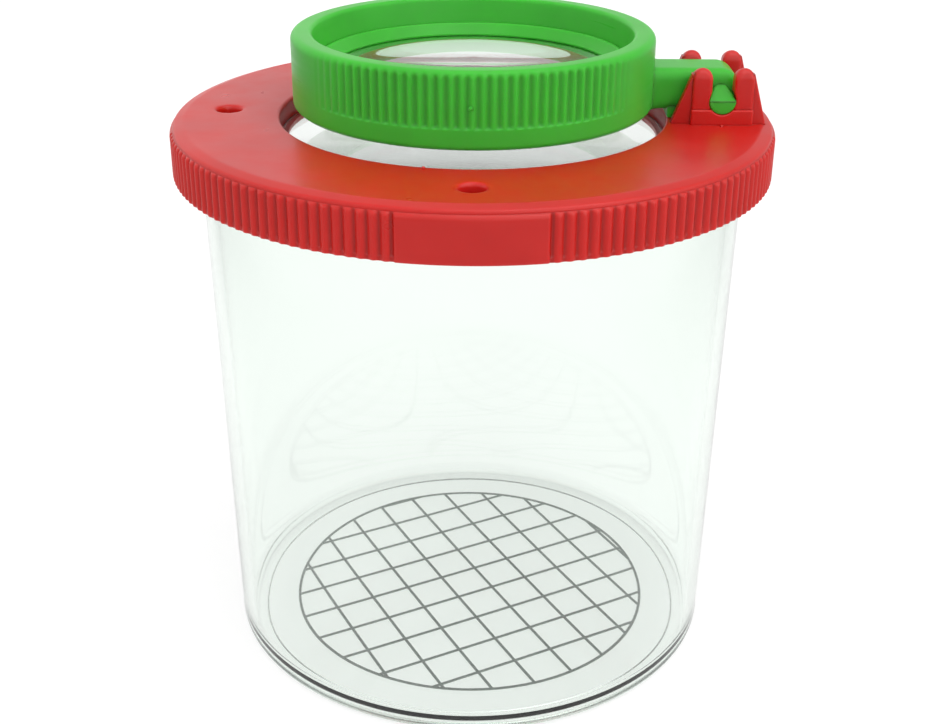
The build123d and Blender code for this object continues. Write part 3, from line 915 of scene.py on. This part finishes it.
class BUGJAR_OT_lid(Operator):
    """Build the ribbed lid with its vents and hinge yokes"""

    bl_idname = "bug_jar.lid"
    bl_label = "Ribbed Lid"

    def execute(self, context):
        scene = context.scene
        finish, lid, hinge = scene.bug_jar_finish, scene.bug_jar_lid, scene.bug_jar_hinge
        # Strength of the painted shade in grooves, then the specular level and how far light goes in
        look = {"groove_shade": 0.4, "sheen": 0.45, "depth": 0.6 * MM}
        red = moulded_plastic("lid_red_plastic", finish.lid_red, finish.gloss, **look)
        nubs = [
            nub_skin((-4.9 * MM, -21.9 * MM, lid.top), (0, 0, 1), 0.22 * MM, 0.2 * MM),
            nub_skin((27.5 * MM, -5.95 * MM, lid.top), (0, 0, 1), 0.2 * MM, 0.16 * MM),
        ]
        shape = join([lid_skin(lid, hinge), *yoke_skins(lid, hinge), *nubs])
        add_piece("ribbed_lid", shape, red, "lid", "lid_ring")
        return {"FINISHED"}


class BUGJAR_OT_lenses(Operator):
    """Build the fixed lens of the lid and the lens of the magnifier"""

    bl_idname = "bug_jar.lenses"
    bl_label = "Lenses"

    def execute(self, context):
        scene = context.scene
        finish, lid, ring = scene.bug_jar_finish, scene.bug_jar_lid, scene.bug_jar_magnifier
        clear = clear_plastic("lens_clear", finish.clear_tint, **LENS_CLEAR)
        rim = LENS_HIGH - FIXED_SAG
        fixed = lens_skin(LENS_LOW, rim, lid.bore_radius, lid.ledge_radius, FIXED_SAG, 0.0)
        add_piece("fixed_lens", fixed, clear, "lid", "field_lens")
        rim = ring.lens_top - 0.01 * MM
        hand = lens_skin(ring.lens_rest, rim, ring.pocket_radius, ring.ledge_radius, HAND_SAG, HAND_SAG)
        add_piece("hinged_lens", hand, clear, "magnifier", "magnifier_lens")
        return {"FINISHED"}


class BUGJAR_OT_magnifier(Operator):
    """Build the fluted green ring with its arm and pins, and the ring that holds its lens"""

    bl_idname = "bug_jar.magnifier"
    bl_label = "Hinged Magnifier"

    def execute(self, context):
        scene = context.scene
        finish, ring = scene.bug_jar_finish, scene.bug_jar_magnifier
        hinge, lid = scene.bug_jar_hinge, scene.bug_jar_lid
        # Strength of the painted shade in grooves, the specular level, how far light goes in and the stretch
        # of the scuffs
        look = {"groove_shade": 0.2, "sheen": 0.2, "depth": 1.2 * MM, "scuff_stretch": (0.2, 0.2, 6)}
        green = moulded_plastic("ring_green_plastic", finish.ring_green, finish.gloss, **look)
        gate_place = (-0.2 * MM, -ring.radius + 0.02 * MM, ring.low + 4.4 * MM)
        gate = nub_skin(gate_place, (0, -1, 0), 0.24 * MM, 0.22 * MM)
        shape = join([ring_skin(ring), *arm_skins(hinge, lid), gate])
        add_piece("fluted_ring", shape, green, "magnifier", "magnifier_frame")
        add_piece("lens_holder", retainer_skin(ring), green, "magnifier", "lens_retainer")
        return {"FINISHED"}


def add_floor(scene, studio):
    """Wide flat floor just under the foot of the jar."""
    mesh = bpy.data.meshes.new("studio_floor")
    corners = np.array([(-3, -3), (3, -3), (3, 3), (-3, 3)], float)
    mesh.from_pydata(np.c_[corners, np.full(4, -0.05 * MM)].tolist(), [], [(0, 1, 2, 3)])
    mesh.materials.append(floor_paper("studio_paper", studio.floor_light))
    floor = bpy.data.objects.new("studio_floor", mesh)
    scene.collection.objects.link(floor)


def add_surroundings(scene, studio):
    """White surroundings, dimmer at the right and behind the camera, with a soft glow at each side."""
    world = bpy.data.worlds.new("studio_surroundings")
    world.use_nodes = True
    scene.world = world
    tree = world.node_tree
    sphere = tree.nodes.new("ShaderNodeTexCoord").outputs["Generated"]
    split = add_node(tree, "ShaderNodeSeparateXYZ", Vector=sphere)
    share = spread(tree, split.outputs["Y"], 0, 1, -0.4, 0.5)
    left = spread(tree, split.outputs["X"], 1, 0, -0.1, 0.4)
    front, back = studio.front_light, studio.back_light
    behind = mixed(tree, left, (RIGHT_SHARE * back,) * 3, (back,) * 3)
    around = mixed(tree, share, (front,) * 3, behind)
    glows = (
        ((0.62, -0.62, 0.48), studio.side_light),
        ((-0.80, -0.45, 0.40), LEFT_GLOW_SHARE * studio.side_light),
    )
    for way, bright in glows:
        towards = add_node(tree, "ShaderNodeVectorMath", operation="DOT_PRODUCT", Vector=sphere)
        towards.inputs[1].default_value = way
        glow = spread(tree, towards.outputs["Value"], 0, 1, 0.45, 1.0)
        around = mixed(tree, glow, around, (bright,) * 3)
    set_up(tree, tree.nodes["Background"], Color=around)


def add_soft_box(scene, studio):
    """Round soft box above the jar, a little to the front and right."""
    light = bpy.data.lights.new("soft_box", "AREA")
    light.shape = "DISK"
    light.size = 0.45
    light.energy = studio.key_light
    lamp = bpy.data.objects.new("soft_box", light)
    lamp.location = (0.10, -0.12, 0.55)
    lamp.rotation_euler = (math.radians(-12), math.radians(10), 0)
    scene.collection.objects.link(lamp)


def add_camera(scene, studio):
    """Camera in front of the jar, looking down on it."""
    camera = bpy.data.cameras.new("studio_camera")
    camera.sensor_width = SENSOR_WIDTH
    camera.lens = FOCAL_PIXELS / PICTURE_WIDTH * SENSOR_WIDTH
    camera.clip_start = 1 * MM
    eye = bpy.data.objects.new("studio_camera", camera)
    look = (
        Matrix.Rotation(CAMERA_YAW, 3, "Z")
        @ Matrix.Rotation(math.pi / 2 - studio.pitch, 3, "X")
        @ Matrix.Rotation(CAMERA_ROLL, 3, "Z")
    )
    eye.matrix_world = Matrix.Translation((0, -studio.distance, studio.height)) @ look.to_4x4()
    scene.collection.objects.link(eye)
    scene.camera = eye


class BUGJAR_OT_stage(Operator):
    """Set the pale floor, the soft studio light and the camera"""

    bl_idname = "bug_jar.stage"
    bl_label = "Studio Stage"

    def execute(self, context):
        scene, studio = context.scene, context.scene.bug_jar_studio
        add_floor(scene, studio)
        add_surroundings(scene, studio)
        add_soft_box(scene, studio)
        add_camera(scene, studio)
        scene.view_settings.view_transform = "Standard"
        return {"FINISHED"}


class BUGJAR_PT_pieces(Panel):
    """Pieces of the jar and their sizes"""

    bl_label = "Bug Catcher Jar"
    bl_idname = "BUGJAR_PT_pieces"
    bl_space_type = "VIEW_3D"
    bl_region_type = "UI"
    bl_category = "Bug Jar"

    def draw(self, context):
        layout = self.layout
        for operator in OPERATORS:
            layout.operator(operator.bl_idname)
        for name in GROUPS:
            group = getattr(context.scene, name)
            box = layout.box()
            box.label(text=group.bl_rna.description)
            for title in group.__annotations__:
                box.prop(group, title)


OPERATORS = (
    BUGJAR_OT_beaker,
    BUGJAR_OT_grid,
    BUGJAR_OT_lid,
    BUGJAR_OT_lenses,
    BUGJAR_OT_magnifier,
    BUGJAR_OT_stage,
)
GROUPS = {
    "bug_jar_beaker": BeakerSizes,
    "bug_jar_lid": LidSizes,
    "bug_jar_hinge": HingeSizes,
    "bug_jar_magnifier": MagnifierSizes,
    "bug_jar_finish": Finishes,
    "bug_jar_studio": Studio,
}


def register():
    """Registers the property groups, operators and panel."""
    for name, group in GROUPS.items():
        bpy.utils.register_class(group)
        setattr(bpy.types.Scene, name, PointerProperty(type=group))
    for operator in OPERATORS:
        bpy.utils.register_class(operator)
    bpy.utils.register_class(BUGJAR_PT_pieces)


def unregister():
    """Takes the panel, operators and property groups away again."""
    bpy.utils.unregister_class(BUGJAR_PT_pieces)
    for operator in reversed(OPERATORS):
        bpy.utils.unregister_class(operator)
    for name, group in reversed(GROUPS.items()):
        delattr(bpy.types.Scene, name)
        bpy.utils.unregister_class(group)


def main():
    """Builds every piece and the stage."""
    register()
    bpy.ops.bug_jar.beaker()
    bpy.ops.bug_jar.grid()
    bpy.ops.bug_jar.lid()
    bpy.ops.bug_jar.lenses()
    bpy.ops.bug_jar.magnifier()
    bpy.ops.bug_jar.stage()


if __name__ == "__main__":
    main()
